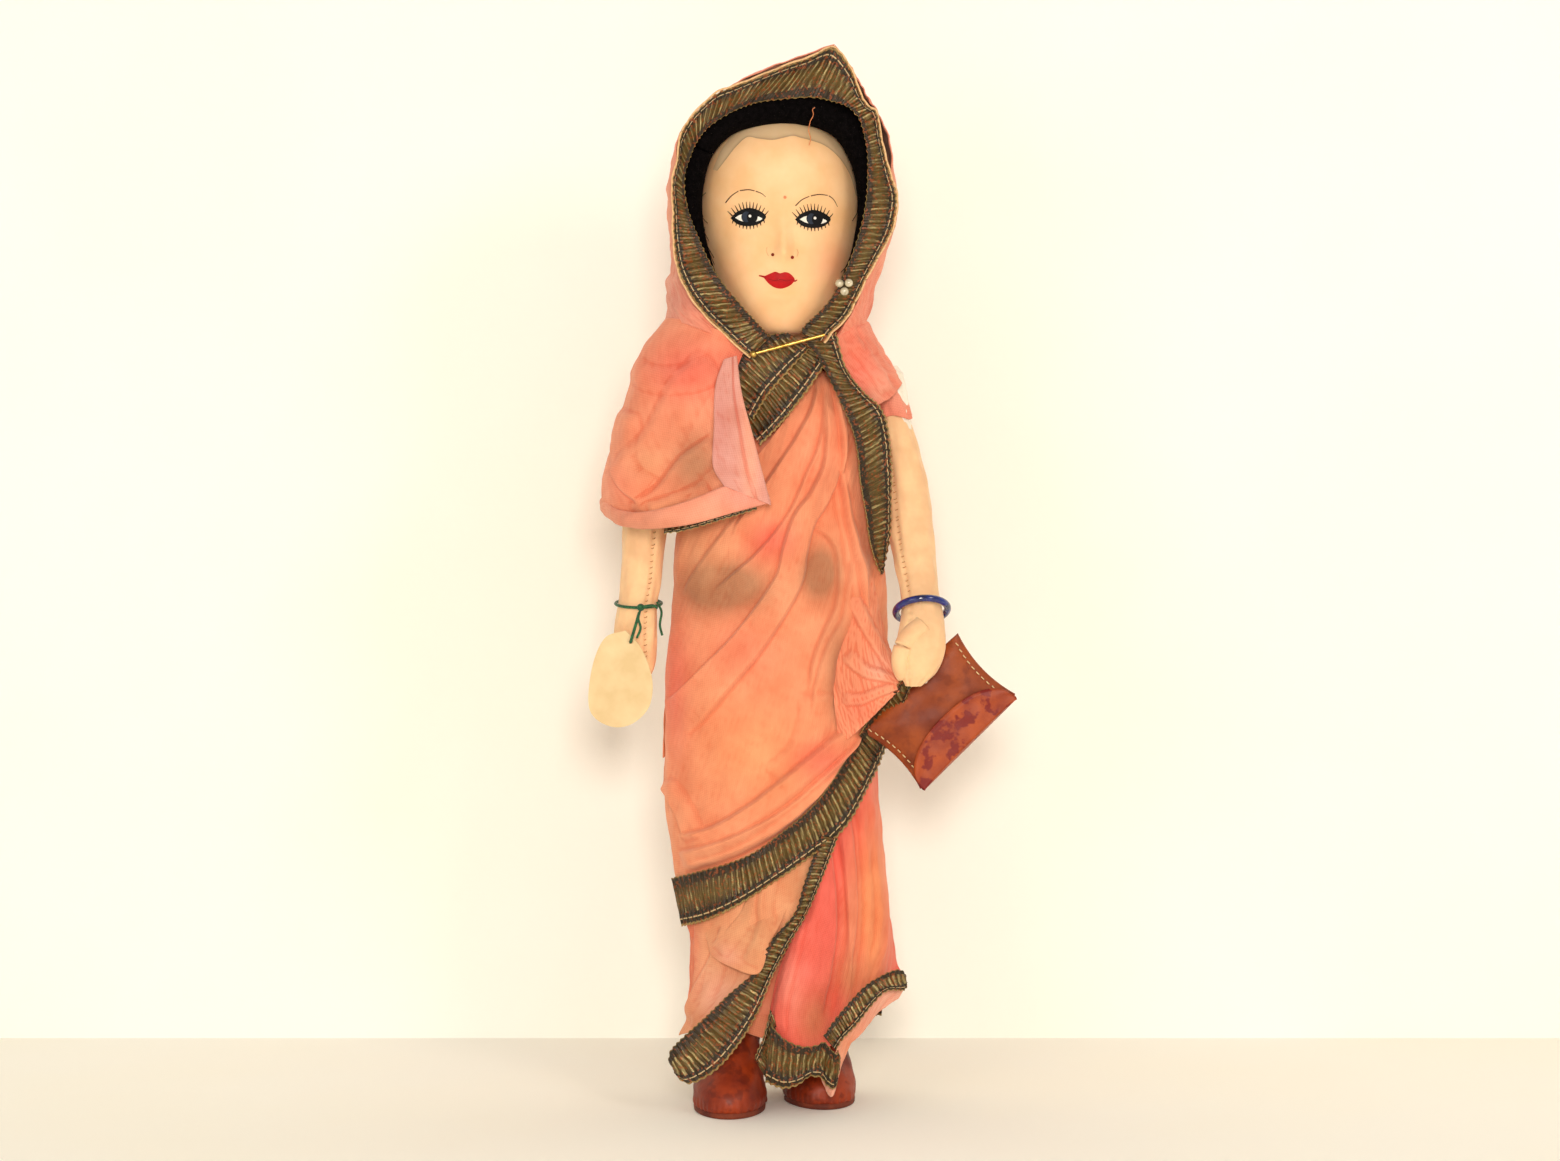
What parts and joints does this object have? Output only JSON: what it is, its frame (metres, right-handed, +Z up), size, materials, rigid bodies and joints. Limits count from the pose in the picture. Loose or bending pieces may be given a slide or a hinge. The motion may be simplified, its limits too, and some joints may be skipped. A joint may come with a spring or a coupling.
{
  "type": "cloth costume doll",
  "caption": "Stuffed cloth doll in a draped sari with metallic ribbon borders, hood, leather shoes, clutch bag, glass bangle and wrist tag.",
  "frame": {"origin": "on the floor, at the middle of the doll's overall width and depth", "axes": "+Z up, the doll faces -Y, and its own left is +X"},
  "size_m": [0.1134, 0.0519, 0.28],
  "materials": {
    "skin_cotton": "fine matt cotton stockinet, cream to warm orange",
    "kapok_stuffing": "loose fibre filling, matt",
    "armature_wire": "drawn soft iron wire",
    "turned_wood": "plain turned dowel, satin",
    "sewing_thread": "twisted cotton thread",
    "blouse_cotton": "thin coral cotton, matt",
    "cotton_tape": "woven cotton tape",
    "shoe_leather": "thin brown leather, soft sheen",
    "sole_leather": "stiff dark leather",
    "sari_muslin": "thin salmon muslin, slightly see-through, matt",
    "sari_pink_muslin": "thin pink muslin, matt",
    "zari_ribbon": "woven metallic ribbon, olive brown with gold bars",
    "pin_brass": "polished wire",
    "hair_floss": "black floss with a greyish hairline",
    "seed_pearl": "pearlescent, glossy",
    "green_thread": "dark green twisted thread",
    "tag_paper": "uncoated cream card",
    "blue_glass": "deep blue lampworked glass with pale glints",
    "bag_leather": "brown grained leather, waxed",
    "bag_flap_leather": "brown leather with a reddish worn patch"
  },
  "bodies": {
    "torso": {"torso_skin": "skin_cotton", "torso_stuffing": "kapok_stuffing", "neck_dowel": "turned_wood", "neck_pad": "skin_cotton", "shoulder_thread": "sewing_thread", "blouse_body": "blouse_cotton", "petticoat": "blouse_cotton", "waist_tape": "cotton_tape", "right_leg_skin": "skin_cotton", "right_leg_stuffing": "kapok_stuffing", "right_leg_wire": "armature_wire", "left_leg_skin": "skin_cotton", "left_leg_stuffing": "kapok_stuffing", "left_leg_wire": "armature_wire", "right_shoe_upper": "shoe_leather", "right_shoe_sole": "sole_leather", "left_shoe_upper": "shoe_leather", "left_shoe_sole": "sole_leather", "sari_skirt": "sari_muslin", "sari_front_fall": "sari_muslin", "sari_pleats": "sari_pink_muslin", "sari_wrap": "sari_muslin", "sari_back": "sari_muslin", "sari_shoulder_right": "sari_muslin", "sari_shoulder_left": "sari_muslin", "pallu_flap": "sari_muslin", "wrap_border": "zari_ribbon", "chest_border": "zari_ribbon", "side_border": "zari_ribbon", "fall_border": "zari_ribbon", "pleats_border": "zari_ribbon", "side_pleat_border": "zari_ribbon", "neck_pin": "pin_brass"},
    "head": {"head_stuffing": "kapok_stuffing", "face_mask": "skin_cotton", "head_back_skin": "skin_cotton", "hair": "hair_floss", "sari_hood": "sari_muslin", "hood_border": "zari_ribbon", "pearl_earring": "seed_pearl"},
    "right_arm": {"right_arm_skin": "skin_cotton", "right_arm_stuffing": "kapok_stuffing", "right_arm_wire": "armature_wire", "right_sleeve": "blouse_cotton", "sari_pallu": "sari_muslin", "wrist_thread": "green_thread"},
    "tag_strand": {"tag_thread": "green_thread"},
    "tag": {"paper_tag": "tag_paper"},
    "left_arm": {"left_arm_skin": "skin_cotton", "left_arm_stuffing": "kapok_stuffing", "left_arm_wire": "armature_wire", "left_sleeve": "blouse_cotton", "sari_corner": "sari_muslin", "corner_border": "zari_ribbon", "bag_stitch": "sewing_thread"},
    "bangle": {"glass_bangle": "blue_glass"},
    "bag": {"bag_body": "bag_leather", "bag_stitching": "sewing_thread"},
    "flap": {"bag_flap": "bag_flap_leather"}
  },
  "joints": [
    {"name": "neck_turn", "type": "hinge", "parent": "torso", "child": "head", "pos_m": [-0.006, 0.001, 0.206], "axis": [0, 0, 1], "range_deg": [-12, 12]},
    {"name": "right_shoulder", "type": "hinge", "parent": "torso", "child": "right_arm", "pos_m": [-0.033, 0.0005, 0.187], "axis": [-1, 0, 0], "range_deg": [0, 45]},
    {"name": "left_shoulder", "type": "hinge", "parent": "torso", "child": "left_arm", "pos_m": [0.0182, 0.0005, 0.187], "axis": [-1, 0, 0], "range_deg": [0, 15]},
    {"name": "tag_strand_swing", "type": "hinge", "parent": "right_arm", "child": "tag_strand", "pos_m": [-0.0428, -0.0085, 0.1334], "axis": [0, 1, 0], "range_deg": [-6, 20]},
    {"name": "tag_swing", "type": "hinge", "parent": "tag_strand", "child": "tag", "pos_m": [-0.0454, -0.00925, 0.1244], "axis": [0, 1, 0], "range_deg": [-10, 20]},
    {"name": "bangle_slide", "type": "slide", "parent": "left_arm", "child": "bangle", "axis": [-0.0697, 0.5278, 0.8465], "range_m": [-0.001, 0.006]},
    {"name": "bag_swing", "type": "hinge", "parent": "left_arm", "child": "bag", "pos_m": [0.032, -0.0143, 0.115], "axis": [0, 1, 0], "range_deg": [-12, 4]},
    {"name": "flap_hinge", "type": "hinge", "parent": "bag", "child": "flap", "pos_m": [0.04398, -0.0125, 0.09802], "axis": [0.7071, 0, 0.7071], "range_deg": [0, 110]}
  ]
}
